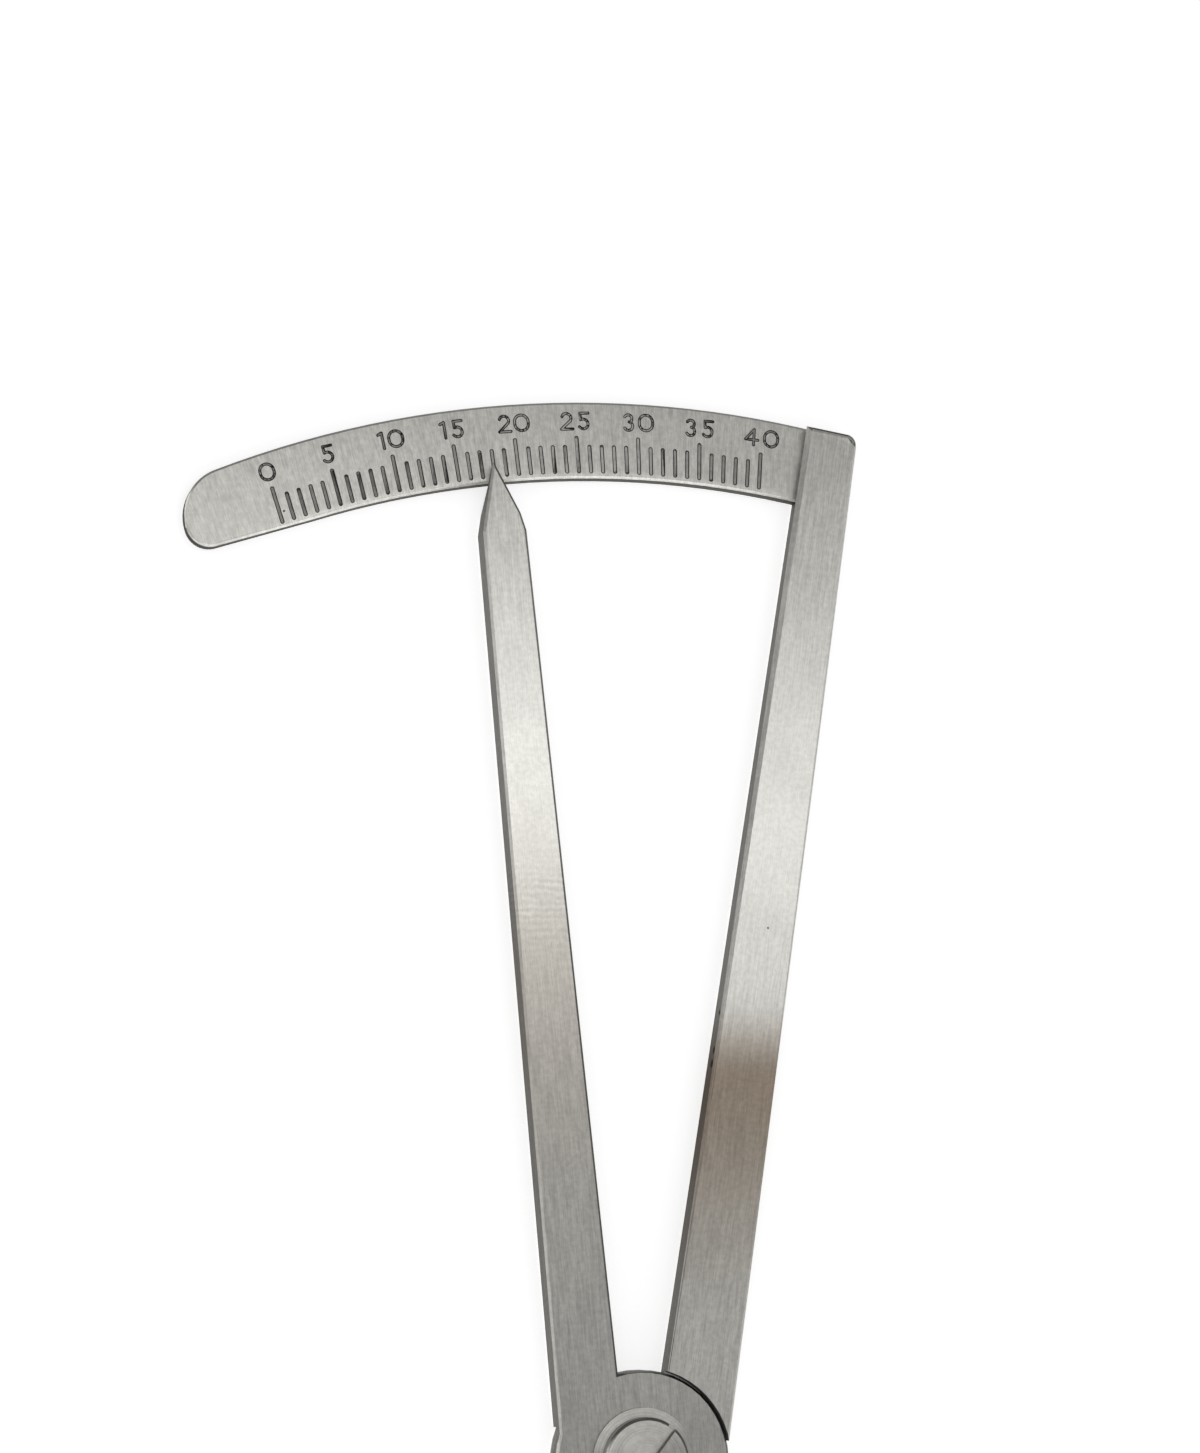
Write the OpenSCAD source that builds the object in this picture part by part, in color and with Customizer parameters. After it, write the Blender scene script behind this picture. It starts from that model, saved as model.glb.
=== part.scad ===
// Castroviejo caliper, 0 to 40 mm: an engraved scale on one arm, a pointer on the other.
// Squeezing the long arms together opens the two measuring points below the joint.
// The origin is on the pivot's axis, in the plane of the flat back. +Z is the graduated side.
// A bearing is an angle at the pivot, clockwise from +Y, as seen from the graduated side.

/* [Reading] */
// Opening between the measuring points, as the model is drawn
reading = 18; // [0:1:40]

/* [Scale plate] */
// Radius of the plate's outer edge, from the pivot
scale_r = 85.2; // [84:0.1:90]
// Width of the plate, from its inner edge to its outer edge
plate_w = 6.35; // [6.3:0.05:7]
// Thickness of the plate
plate_t = 1.3; // [1.1:0.05:1.5]
// Radius of the rounded end's upper corner
nose_upper_r = 4.0; // [3.4:0.1:4.0]
// Radius of the rounded end's lower corner
nose_lower_r = 1.9; // [1.5:0.1:1.9]
// Bearing from which the inner edge runs straight to the rounded end, to the left of +Y
nose_bearing = 18.4; // [18:0.1:19]
// Length of the plate from that bearing to its rounded end
nose_reach = 12.1; // [11.5:0.05:12.5]
// Bevel along the plate's front edges
plate_bevel = 0.18; // [0.05:0.01:0.25]

/* [Graduations] */
// Highest reading
scale_max = 40; // [20:5:40]
// Bearing of the zero, to the left of +Y
zero_bearing = 21.7; // [20:0.05:22.5]
// Graduations from one number to the next
number_step = 5; // [5:5:10]
// Distance of the lines' feet from the plate's inner edge
foot_gap = 0.4; // [0.3:0.05:0.5]
// Length of a short line
short_line = 2.35; // [2:0.05:2.8]
// Length of a long line
long_line = 3.1; // [2.9:0.05:3.3]
// Width of the engraved lines
line_w = 0.31; // [0.2:0.01:0.4]
// Depth of the engraving
engraving = 0.12; // [0.05:0.01:0.2]
// Distance below the pivot of the point that the lines aim at
fan_drop = 28.3; // [0:0.1:35]
// Bearing of the one line that aims at the pivot too, to the left of +Y
fan_bearing = 7.5; // [0:0.1:12]
// Height of the numbers
number_h = 1.52; // [1.2:0.02:1.56]
// Distance of the numbers' middle from the plate's outer edge
number_inset = 1.6; // [1.4:0.01:1.65]
// Width of the numbers' strokes
number_stroke = 0.22; // [0.15:0.01:0.26]

/* [Arms] */
// Thickness of both arms
arm_t = 2.3; // [2.2:0.05:2.8]
// Distance of each arm's middle line from the pivot
arm_offset = 3.85; // [3.7:0.05:4]
// Bearing of the scale arm, to the right of +Y
scale_bearing = 8.6; // [8:0.1:10]
// Bearing of the pointer arm at a reading of 18, to the left of +Y
pointer_bearing = 5.8; // [5:0.1:6.5]
// Width of the scale arm beside the plate
scale_arm_w = 4.15; // [4:0.05:4.6]
// Width of the pointer arm at its shoulders
pointer_arm_w = 3.6; // [3.3:0.05:4]
// Growth of each arm's width towards the joint, per millimetre
arm_flare = 0.0215; // [0.015:0.0005:0.025]
// Bevel along the arms' front edges
arm_bevel = 0.2; // [0.05:0.01:0.3]
// Bevel along the arms' back edges
back_bevel = 0.08; // [0.02:0.01:0.15]
// Radius of the scale arm's outer top corner
cap_r = 0.9; // [0.5:0.1:1.2]
// Height of the scale arm's end above the plate's outer edge
cap_rise = 0; // [0:0.05:0.5]
// Steel left in the scale arm beside the end of the plate's tongue
tongue_wall = 0.9; // [0.6:0.05:1.2]

/* [Pointer] */
// Length of the pointed end, from its left shoulder
nose_l = 5.7; // [5:0.1:7]
// Distance of the right shoulder above the left one
shoulder_step = 0.5; // [0:0.1:1]
// Distance of the pointer's end above the feet of the lines
tip_over_foot = 1.15; // [0.5:0.05:2]
// Distance of the point to the left of the arm's middle line
tip_shift = 0.4; // [0:0.05:0.6]
// Clearance between the pointer and the plate's front
pointer_gap = 0.15; // [0.1:0.01:0.3]
// Thickness of the pointer at its point
tip_t = 0.35; // [0.2:0.05:0.6]

/* [Legs] */
// Distance of the measuring points from the pivot
tip_r = 79.5; // [75:0.1:85]
// Width of each leg below the joint
leg_w = 4.3; // [3.5:0.1:5]
// Width of each leg at its knee
knee_w = 3.0; // [2.4:0.1:3.5]
// Distance of the knees from the pivot
knee_r = 46; // [40:1:55]
// Length over which each leg narrows to its point
point_run = 14; // [10:1:20]
// Width of each measuring point's end
point_w = 0.28; // [0.2:0.02:0.5]
// Thickness of each measuring point's end
point_t = 0.5; // [0.3:0.05:1]
// Gap between the closed legs below the joint
leg_gap = 3.6; // [3:0.1:4.5]
// Gap between the closed legs at their knees
knee_gap = 2.6; // [2:0.1:3]
// Gap between the closed measuring points
point_gap = 0.04; // [0.02:0.01:0.1]

/* [Joint] */
// Radius of the two lapped eyes
eye_r = 7; // [6.9:0.1:8]
// Thickness of the washer between the eyes
shim_t = 0.2; // [0.1:0.05:0.3]
// Distance of that washer's edge inside the edge of the eyes
shim_inset = 1; // [0.5:0.1:1.5]
// Radius of the screw's shoulder, which the pointer arm turns on
shoulder_r = 2.2; // [1.9:0.1:2.6]
// Radius of the screw's threaded end
thread_r = 1.8; // [1.2:0.1:1.8]
// Radius of the screw's head
head_r = 3.4; // [3.1:0.1:4]
// Height of the screw's head
head_h = 1.1; // [0.9:0.1:1.5]
// Radius that rounds the top edge of the head
head_round = 0.35; // [0.1:0.05:0.45]
// Width of the screwdriver slot
slot_w = 0.7; // [0.5:0.05:0.9]
// Depth of the screwdriver slot
slot_d = 0.5; // [0.3:0.05:0.6]
// Bearing of the screwdriver slot
slot_bearing = 38; // [0:1:180]
// Radius of the dished spring washer
spring_r = 4.1; // [3.6:0.1:4.6]
// Thickness of the spring washer's steel
spring_t = 0.22; // [0.15:0.01:0.3]
// Height of the dished spring washer under the head
spring_h = 0.36; // [0.32:0.01:0.5]
// Radial clearance of the running fit on the shoulder
run_fit = 0.03; // [0.02:0.01:0.08]
// Radial clearance around washers and pieces that are fixed
seat_fit = 0.05; // [0.03:0.01:0.08]
// Clearance between an arm and the edge of the other arm's eye
eye_gap = 0.2; // [0.15:0.05:0.4]

/* [Hidden] */
$fn = 96;

steel = [0.76, 0.76, 0.74];
bright_steel = [0.85, 0.85, 0.84];

far = 400;                                  // longer than anything in the model
drawn_at = 18;                              // the reading that pointer_bearing is given for
plate_r = scale_r - plate_w;                // the plate's inner edge
foot_r = plate_r + foot_gap;                // the feet of the graduations
lap_t = (arm_t - shim_t) / 2;               // thickness of each eye
clear_r = eye_r + eye_gap;                  // each arm is cut back to here beside the other's eye
head_z = arm_t + spring_h;                  // underside of the screw's head
past_arm = scale_bearing + 15;              // a bearing beyond the scale arm's far side
knee_y = -knee_r;
round_end = 0.004;                          // how much wider a stroke's round ends are than the stroke
disc_lap = 0.002;                           // how far a rounded corner's disc stands over the edges it joins
edge_dip = 0.025;                           // how far inside the inner edge its straight run starts
past_nose_bearing = 15;                      // from there, a bearing that lies beyond the rounded end
ankle_share = 0.62;                         // the leg's width above its point, between point and knee
point_half = 0.03;                          // half the width of the pointer's very end
nose_break = 0.16;                          // where the pointer's outer side turns, as a share of its length
nose_drop = 0.1;                            // how far the outer shoulder's corner drops, the same way
ramp_rise = 1.5;                            // the pointer's ramp starts this far above its left shoulder
relief_lead = 0.3;                          // and ends this far below the plate

// Angle that the arms turn through from zero to a reading between the points
function opening(m) = 2 * asin(m / (2 * tip_r));
// Bearing of a reading's line on the scale
function bearing(m) = -zero_bearing + opening(m);
// Point at a radius and a bearing
function at(r, b) = [r * sin(b), r * cos(b)];
// Unit vector from one point to another
function heading(p, q) = (q - p) / norm(q - p);
// Point at a radius and an ordinary angle about c
function polar(c, r, a) = c + r * [cos(a), sin(a)];
function lerp(a, b, t) = a + (b - a) * t;
// The corners of a profile that ends at x, with a bevel or without one
function back_corner(x, bevel) = bevel > 0 ? [[x - bevel, 0], [x, bevel]] : [[x, 0]];
function front_corner(x, thick, bevel) = bevel > 0 ? [[x, thick - bevel], [x - bevel, thick]] : [[x, thick]];

pointer_now = -pointer_bearing - opening(drawn_at) + opening(reading);
closed_bearing = (scale_bearing - pointer_bearing - opening(drawn_at)) / 2;
pointer_leg_now = closed_bearing + opening(reading);
fan_point = at(-fan_drop, -fan_bearing);

// Turns children from their own frame, where +Y runs up the arm, to a bearing
module toward(b) {
    rotate([0, 0, -b]) children();
}

// A slab whose edge runs from p to q, with the steel on its right and bevels front and back
module edge_slab(p, q, thick, front, back) {
    run = q - p;
    translate([p.x, p.y, 0])
        rotate([0, 0, atan2(run.y, run.x)])
            translate([-far, 0, 0])
                rotate([90, 0, 90])
                    linear_extrude(2 * far)
                        polygon(concat([[-far, 0]], back_corner(0, back), front_corner(0, thick, front),
                            [[-far, thick]]));
}

// A convex bar: its corners clockwise, and 1 for each side that has bevels
module bar(corners, bevelled, thick, front, back) {
    count = len(corners);
    intersection_for (i = [0 : count - 1])
        edge_slab(corners[i], corners[(i + 1) % count], thick,
            front * bevelled[i], back * bevelled[i]);
}

// A ring, or part of one between two bearings, with bevels on its front edges
module arc_bar(inner, outer, from, to, thick, inner_bevel, outer_bevel) {
    rotate([0, 0, 90 - to])
        rotate_extrude(angle = to - from, $fn = 360)
            polygon(concat([[inner, 0], [outer, 0]], front_corner(outer, thick, outer_bevel),
                [[inner + inner_bevel, thick], [inner, thick - inner_bevel]]));
}

// What is cut off to round a corner: all that lies outside a disc about c, between two bearings
module beyond_corner(c, r, from, to, thick, bevel) {
    disc_r = r + disc_lap;
    difference() {
        translate([0, 0, -1])
            linear_extrude(thick + 2)
                polygon([c, c + at(far, from), c + at(2 * far, (from + to) / 2), c + at(far, to)]);
        translate([c.x, c.y, 0])
            rotate_extrude()
                polygon(concat([[0, 0], [disc_r, 0]], front_corner(disc_r, thick, bevel), [[0, thick]]));
    }
}

// A straight stroke without its round ends
module band(p, q, w) {
    run = q - p;
    thin = w - round_end;
    translate(p)
        rotate(atan2(run.y, run.x))
            translate([0, -thin / 2])
                square([norm(run), thin]);
}

// A round stroke about c without its ends, counterclockwise from angle a to angle b
module arc_band(c, r, a, b, w) {
    thin = w - round_end;
    translate(c)
        intersection() {
            difference() {
                circle(r = r + thin / 2);
                circle(r = r - thin / 2);
            }
            polygon(concat([[0, 0]], [for (i = [0 : 4]) polar([0, 0], 3 * r, lerp(a, b, i / 4))]));
        }
}

// The round ends and turns of strokes
module dots(points, w) {
    for (p = points)
        translate(p) circle(d = w);
}

module stroke(p, q, w) {
    band(p, q, w);
    dots([p, q], w);
}

module arc_stroke(c, r, a, b, w) {
    arc_band(c, r, a, b, w);
    dots([polar(c, r, a), polar(c, r, b)], w);
}

// One figure of the scale, about its own middle, h high over its strokes' outer edges.
// Its points are given in shares of y, half the height between its strokes' middle lines.
module figure(value, h, w) {
    y = (h - w) / 2;
    if (value == 0) {
        r = y * 0.87;
        turn = y - r;
        arc_band([0, turn], r, 0, 180, w);
        arc_band([0, -turn], r, 180, 360, w);
        for (side = [-r, r]) {
            band([side, -turn], [side, turn], w);
            dots([[side, -turn], [side, turn]], w);
        }
    }
    if (value == 1) {
        top = y * [0.09, 1];
        flag = y * [-0.4, 0.78];
        stroke(top, y * [0.09, -1], w);
        band(top, flag, w);
        dots([flag], w);
    }
    if (value == 2) {
        r = y * 0.6;
        c = [0, y - r];
        turn = -32;
        corner = y * [-0.72, -1];
        end = y * [0.75, -1];
        arc_stroke(c, r, turn, 160, w);
        band(polar(c, r, turn), corner, w);
        band(corner, end, w);
        dots([corner, end], w);
    }
    if (value == 3) {
        upper = y * 0.49;
        lower = y * 0.55;
        middle = -y * 0.08;
        arc_stroke([middle, y - upper], upper, -70, 150, w);
        arc_stroke([middle, lower - y], lower, -150, 78, w);
    }
    if (value == 4) {
        top = y * [0.25, 1];
        corner = y * [-0.85, -0.35];
        end = y * [0.78, -0.35];
        stroke(top, y * [0.25, -1], w);
        band(top, corner, w);
        band(corner, end, w);
        dots([corner, end], w);
    }
    if (value == 5) {
        r = y * 0.62;
        c = [-y * 0.09, r - y];
        turn = 118;
        corner = y * [-0.42, 1];
        end = y * [0.62, 1];
        arc_stroke(c, r, -145, turn, w);
        band(polar(c, r, turn), corner, w);
        band(corner, end, w);
        dots([corner, end], w);
    }
}

// A whole number, its figures set side by side
module number(value, h, w) {
    tens = floor(value / 10);
    units = value % 10;
    pitch = tens == 1 ? h * 0.75 : tens == 4 ? h * 1.08 : h * 0.95;
    if (tens > 0)
        translate([-pitch / 2, 0]) figure(tens, h, w);
    translate([tens > 0 ? pitch / 2 : 0, 0]) figure(units, h, w);
}

// Every line of the scale, seen from above
module graduations() {
    for (m = [0 : scale_max]) {
        foot = at(foot_r, bearing(m));
        out = heading(fan_point, foot);
        length = m % number_step == 0 ? long_line : short_line;
        stroke(foot + out * line_w / 2, foot + out * (length - line_w / 2), line_w);
    }
}

// Every number of the scale, seen from above
module numbers() {
    for (m = [0 : number_step : scale_max]) {
        foot = at(foot_r, bearing(m));
        out = heading(fan_point, foot);
        middle = foot + out * (scale_r - number_inset - foot_r);
        translate(middle)
            rotate(-atan2(out.x, out.y))
                number(m, number_h, number_stroke);
    }
}

// What is cut off the arc for its rounded end, in the frame of the bearing where that end starts
module beyond_nose() {
    left = -nose_reach;
    low = plate_r - edge_dip;
    lower_c = [left + nose_lower_r, low + nose_lower_r];
    upper_x = left + nose_upper_r;
    upper_c = [upper_x, sqrt(pow(scale_r - nose_upper_r, 2) - pow(upper_x, 2))];
    difference() {
        translate([-far, 0, -1])
            cube([far, far, plate_t + 2]);
        intersection() {
            edge_slab([0, low], [-1, low], plate_t, plate_bevel, 0);
            edge_slab([left, 0], [left, 1], plate_t, plate_bevel, 0);
        }
    }
    beyond_corner(lower_c, nose_lower_r, 180, 270, plate_t, plate_bevel);
    beyond_corner(upper_c, nose_upper_r, 270, 360 + atan2(upper_c.x, upper_c.y), plate_t, plate_bevel);
}

// The blank of the scale plate: an arc with one rounded end, and a square tongue
module plate_blank() {
    difference() {
        arc_bar(plate_r, scale_r, -nose_bearing - past_nose_bearing, past_arm, plate_t, plate_bevel, plate_bevel);
        toward(-nose_bearing) beyond_nose();
    }
}

// Everything left of the end of the tongue, in the scale arm's frame
module left_of_tongue_end(gap) {
    wall_y = (scale_r + plate_r) / 2;
    half_w = scale_arm_w / 2;
    toward(scale_bearing)
        translate([arm_offset + half_w - tongue_wall - gap - far, wall_y - far / 2, -1])
            cube([far, far, arm_t + 2]);
}

module scale_plate() {
    color(steel)
        difference() {
            intersection() {
                plate_blank();
                left_of_tongue_end(seat_fit);
            }
            translate([0, 0, plate_t - engraving])
                linear_extrude(plate_t)
                    graduations();
            translate([0, 0, plate_t - engraving])
                linear_extrude(plate_t)
                    numbers();
        }
}

// One lapped eye, with bevels on the side that shows
module eye(z, front, back) {
    translate([0, 0, z])
        rotate_extrude()
            polygon(concat([[0, 0]], back_corner(eye_r, back), front_corner(eye_r, lap_t, front),
                [[0, lap_t]]));
}

// One leg in the closed caliper's frame: the right one, or the left one with side = -1
module leg(side) {
    top_in = leg_gap / 2;
    knee_in = knee_gap / 2;
    point_in = point_gap / 2;
    cut = tip_r + 1;
    taper_y = -tip_r + point_run;
    ankle_w = lerp(point_w, knee_w, ankle_share);
    ankle_in = lerp(point_in, knee_in, point_run / (tip_r - knee_r));
    mirror([side < 0 ? 1 : 0, 0, 0])
        intersection() {
            union() {
                bar([[knee_in, knee_y], [top_in, 0], [top_in + leg_w, 0], [knee_in + knee_w, knee_y]],
                    [1, 0, 1, 0], arm_t, arm_bevel, back_bevel);
                bar([[point_in, -tip_r], [knee_in, knee_y], [knee_in + knee_w, knee_y],
                    [ankle_in + ankle_w, taper_y], [point_in + point_w, -tip_r]],
                    [1, 0, 1, 1, 0], arm_t, arm_bevel, back_bevel);
            }
            rotate([90, 0, 90])
                linear_extrude(far)
                    polygon([[1, -1], [1, arm_t + 1], [taper_y, arm_t + 1], [taper_y, arm_t],
                        [-tip_r, (arm_t + point_t) / 2], [-cut, (arm_t + point_t) / 2],
                        [-cut, (arm_t - point_t) / 2], [-tip_r, (arm_t - point_t) / 2],
                        [taper_y, 0], [taper_y, -1]]);
        }
}

// Room for the other arm's eye, between two heights
module eye_room(low, high) {
    translate([0, 0, low])
        cylinder(r = clear_r, h = high - low);
}

// The scale arm above the joint, in its own frame
module scale_shank() {
    top_y = scale_r + cap_rise;
    top_half = scale_arm_w / 2;
    foot_half = top_half + arm_flare * plate_r / 2;
    left = arm_offset - top_half;
    right = arm_offset + top_half;
    cap_c = [right - cap_r * (1 - arm_flare / 2), top_y - cap_r];
    difference() {
        bar([[arm_offset - foot_half, 0], [left, top_y], [right, top_y], [arm_offset + foot_half, 0]],
            [1, 1, 1, 0], arm_t, arm_bevel, back_bevel);
        beyond_corner(cap_c, cap_r, 0, 90, arm_t, arm_bevel);
    }
}

module scale_arm() {
    color(steel)
        difference() {
            union() {
                difference() {
                    union() {
                        toward(scale_bearing) scale_shank();
                        toward(closed_bearing) leg(1);
                    }
                    eye_room(lap_t, arm_t + 1);
                }
                eye(0, 0, back_bevel);
            }
            intersection() {
                translate([0, 0, -1])
                    rotate([0, 0, 90 - past_arm])
                        rotate_extrude(angle = 2 * (past_arm - scale_bearing), $fn = 360)
                            translate([plate_r - seat_fit, 0])
                                square([far, plate_t + 1]);
                left_of_tongue_end(0);
            }
            translate([0, 0, -1])
                cylinder(r = thread_r + seat_fit, h = arm_t + 2);
        }
}

// The pointer arm above the joint, in its own frame
module pointer_shank() {
    point_y = sqrt(pow(foot_r + tip_over_foot, 2) - pow(arm_offset + tip_shift, 2));
    left_y = point_y - nose_l;
    right_y = left_y + shoulder_step;
    half = pointer_arm_w / 2;
    foot_half = half + arm_flare * left_y / 2;
    middle = -arm_offset;
    point_x = middle - tip_shift;
    relief_y = plate_r - relief_lead;
    relief_z = plate_t + pointer_gap;
    ramp_y = left_y + ramp_rise;
    difference() {
        bar([[middle - foot_half, 0], [middle - half, left_y], [point_x - point_half, point_y],
            [point_x + point_half, point_y],
            [lerp(middle + half, point_x, nose_break), right_y + nose_l * nose_break],
            [middle + half, right_y - nose_l * nose_drop], [middle + foot_half, 0]],
            [1, 1, 0, 1, 1, 1, 0], arm_t, arm_bevel, back_bevel);
        translate([-far / 2, 0, 0])
            rotate([90, 0, 90])
                linear_extrude(far)
                    polygon([[ramp_y, -1], [ramp_y, 0], [relief_y, relief_z],
                        [point_y, arm_t - tip_t], [point_y + 1, arm_t - tip_t], [point_y + 1, -1]]);
    }
}

module pointer_arm() {
    color(steel)
        difference() {
            union() {
                difference() {
                    union() {
                        toward(pointer_now) pointer_shank();
                        toward(pointer_leg_now) leg(-1);
                    }
                    eye_room(-1, arm_t - lap_t);
                }
                eye(arm_t - lap_t, arm_bevel, 0);
            }
            translate([0, 0, -1])
                cylinder(r = shoulder_r + run_fit, h = arm_t + 2);
        }
}

module pivot_screw() {
    color(bright_steel)
        difference() {
            union() {
                cylinder(r = thread_r, h = lap_t);
                translate([0, 0, lap_t])
                    cylinder(r = shoulder_r, h = head_z - lap_t);
                translate([0, 0, head_z])
                    rotate_extrude()
                        union() {
                            square([head_r - head_round, head_h]);
                            square([head_r, head_h - head_round]);
                            translate([head_r - head_round, head_h - head_round])
                                circle(r = head_round);
                        }
            }
            translate([0, 0, head_z + head_h - slot_d])
                toward(slot_bearing)
                    translate([-slot_w / 2, -far / 2, 0])
                        cube([slot_w, far, head_h]);
        }
}

// A dished washer: its rim bears on the pointer arm, its bore's edge on the screw's head
module spring_washer() {
    bore = shoulder_r + seat_fit;
    color(bright_steel)
        translate([0, 0, arm_t])
            rotate_extrude()
                polygon([[bore, spring_h - spring_t], [spring_r, 0], [spring_r, spring_t],
                    [bore, spring_h]]);
}

module joint_washer() {
    color(bright_steel)
        translate([0, 0, lap_t])
            difference() {
                cylinder(r = eye_r - shim_inset, h = shim_t);
                translate([0, 0, -1])
                    cylinder(r = shoulder_r + seat_fit, h = shim_t + 2);
            }
}

scale_plate();
scale_arm();
pointer_arm();
pivot_screw();
spring_washer();
joint_washer();
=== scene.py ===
# The looks of a castroviejo caliper: satin ground steel, an engraved scale, a lapped joint, and a studio.
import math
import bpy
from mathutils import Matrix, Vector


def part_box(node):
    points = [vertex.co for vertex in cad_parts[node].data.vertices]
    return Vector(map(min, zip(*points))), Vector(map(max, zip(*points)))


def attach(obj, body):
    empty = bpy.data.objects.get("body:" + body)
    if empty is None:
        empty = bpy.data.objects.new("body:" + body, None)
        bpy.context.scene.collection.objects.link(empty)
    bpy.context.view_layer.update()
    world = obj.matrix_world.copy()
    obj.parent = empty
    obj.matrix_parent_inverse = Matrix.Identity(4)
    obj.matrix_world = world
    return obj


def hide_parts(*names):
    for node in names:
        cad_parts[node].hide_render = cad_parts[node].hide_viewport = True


bl_info = {
    "name": "Castroviejo Caliper",
    "version": (1, 0, 0),
    "blender": (4, 5, 0),
    "location": "3D View > Sidebar > Caliper",
    "description": "Finishes the packed caliper in ground stainless steel and sets up its studio",
    "category": "Object",
}

import bmesh
import bpy
from bpy.props import FloatProperty, FloatVectorProperty, PointerProperty
from mathutils import Matrix, Vector

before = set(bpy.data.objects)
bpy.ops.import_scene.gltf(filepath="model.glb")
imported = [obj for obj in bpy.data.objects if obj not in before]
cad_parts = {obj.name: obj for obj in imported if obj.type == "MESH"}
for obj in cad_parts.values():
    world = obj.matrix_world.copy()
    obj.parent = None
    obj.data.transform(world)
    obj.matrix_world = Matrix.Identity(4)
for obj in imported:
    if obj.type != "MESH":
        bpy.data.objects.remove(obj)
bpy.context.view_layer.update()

MM = 0.001
UP = (0.0, 0.0, 1.0)
WHITE = (1.0, 1.0, 1.0, 1.0)

# The CAD part's own measures, in metres. The fan point is where the plate's grinding lines would meet.
PLATE_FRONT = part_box("scale_plate")[1].z
ARM_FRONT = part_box("scale_arm")[1].z
PLATE_OUTER_R = 85.2 * MM
PLATE_INNER_R = 78.85 * MM
ENGRAVING = 0.12 * MM
FAN_POINT = Vector((3.69, -28.06, 0)) * MM

# Each arm's bearing above the joint and its leg's below it, clockwise from +Y as seen from the front
SCALE_ARM_BEARINGS = (math.radians(8.6), math.radians(-3.9))
POINTER_ARM_BEARINGS = (math.radians(-5.8), math.radians(6.7))

# Small dark marks on the steel: their place and how far each one reaches, in millimetres
SCALE_ARM_MARKS = (
    (10.49, 42.14, 2.3, 0.13),
    (6.46, 35.35, 1.4, 0.4),
    (6.03, 32.3, 1.4, 0.45),
    (5.94, 31.2, 1.4, 0.5),
)
PLATE_MARKS = ((-29.24, 74.66, 1.3, 0.14),)

# What a mark leaves of the steel's tone, the shares of its reach that it fades between, and its ragged edge
MARK_SHADE = 0.15
MARK_EDGE = (0.8, 1.2)
MARK_RAGGED = 0.6
MARK_FINENESS = 9000.0

# The painted brown reflections low on the arms' upper parts: the places in Y, in metres, that each fades
# between, and its strength. Both fade again towards the joint, down to the reflection's end.
SCALE_ARM_REFLECTION = (30.0 * MM, 37.0 * MM, 1.0)
POINTER_ARM_REFLECTION = (36.0 * MM, 54.0 * MM, 0.42)
REFLECTION_END = 6.0 * MM

# The ripples on the pointer arm: their place in Y and how far they reach, from crest to crest, in metres, and
# how far they wander, in steps
RIPPLES_AT, RIPPLES_SPREAD, RIPPLE_STEP = 43.5 * MM, 5.0 * MM, 0.56 * MM
RIPPLE_WANDER = 1.4
RIPPLE_SHADE = 0.14
RIPPLE_WANDER_FINENESS, RIPPLE_PATCH_FINENESS = 700.0, 500.0

# The grinding of each steel: its lines across and its runs along, to the metre
ARM_GRAIN = (12000.0, 500.0)
PLATE_GRAIN = (11000.0, 900.0)
TURNED_GRAIN = (9000.0, 60.0)
TURNED_RADIUS = 3 * MM

# The grinding's layers: each one's share of the lines and of the runs, and its noise's detail and roughness
FINE_LAYER = (1.0, 1.0, 3.0, 0.6)
COARSE_LAYER = (0.22, 0.6, 2.0, 0.5)
SCRATCH_LAYER = (0.55, 0.35, 1.0, 0.4)
FINE_SHARE, COARSE_SHARE = 0.62, 0.38
SCRATCH_FROM, SCRATCH_TO = 0.70, 0.78
SCRATCH_DEPTH = 0.6

# Between these two values a noise has most of its range
NOISE_LOW, NOISE_HIGH = 0.3, 0.7

# The clouds and the mottle that handling leaves on the steel
CLOUDS = 160.0
CLOUDS_FROM, CLOUDS_TO = 0.32, 0.68
MOTTLE_FINER = 16.0

# How far each effect changes the steel's tone, up and down, and its roughness
CLOUD_SHADE = 0.02
MOTTLE_SHADE = 0.07
SCRATCH_SHADE = 0.07
GRAIN_ROUGHNESS = 0.03
CLOUD_ROUGHNESS = (-0.01, 0.015)
SIDE_ROUGHNESS = 0.25
BUMP_STRENGTH = 0.25
BUMP_HEIGHT = 0.004 * MM

# How upright a normal is between a narrow side and a bevel, and between a bevel and a flat
SIDE_BAND = (0.25, 0.45)
BEVEL_BAND = (0.94, 0.995)

# The direction that the far bevels face, away from the light, and how much they lean that way: those bevels
# get painted shade
FAR_SIDE = (0.25, 0.968, 0.0)
FAR_BAND = (0.02, 0.3)

# How much of the shaded side colour each steel's narrow sides keep: their darker tone is painted shade
SCALE_ARM_SIDE_SHADE = 0.68
POINTER_ARM_SIDE_SHADE = 0.66
PLATE_SIDE_SHADE = 0.3
TURNED_SIDE_SHADE = 1.0

# Fine shapes that the CAD part leaves to this script, in metres
WELD = 0.0004 * MM
HAIR = 0.01 * MM
SHORT = 0.1 * MM
LONG = 8 * MM
SHARP = math.radians(25)
PLATE_SOFTENING = 0.09 * MM
ARM_SOFTENING = 0.07 * MM
CAP_SOFTENING = 0.2 * MM
CAP_FROM = 82 * MM
CAP_DEEP = 0.3 * MM
OUTLINE_BAND = 0.22 * MM
GROOVE_SLOPE = 0.05 * MM
GROOVE_LIP = 0.025 * MM
# The rim is a band of painted shade round each stroke
RIM_WIDTH = 0.022 * MM

# Where along X, in metres, the engraving's blackening is most worn, and how far the wear reaches from there
WORN_AT, WORN_REACH = -4 * MM, 15 * MM
GROOVE_SIDE_WEAR = {"Patchiness": 0.3, "End share": 1.0, "Roughness": 0.45}
GROOVE_FLOOR_WEAR = {"Patchiness": 0.25, "End share": 0.6, "Roughness": 0.4}
PATCH_FINENESS = 1600.0
PATCH_ROUGHNESS = 0.08
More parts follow.
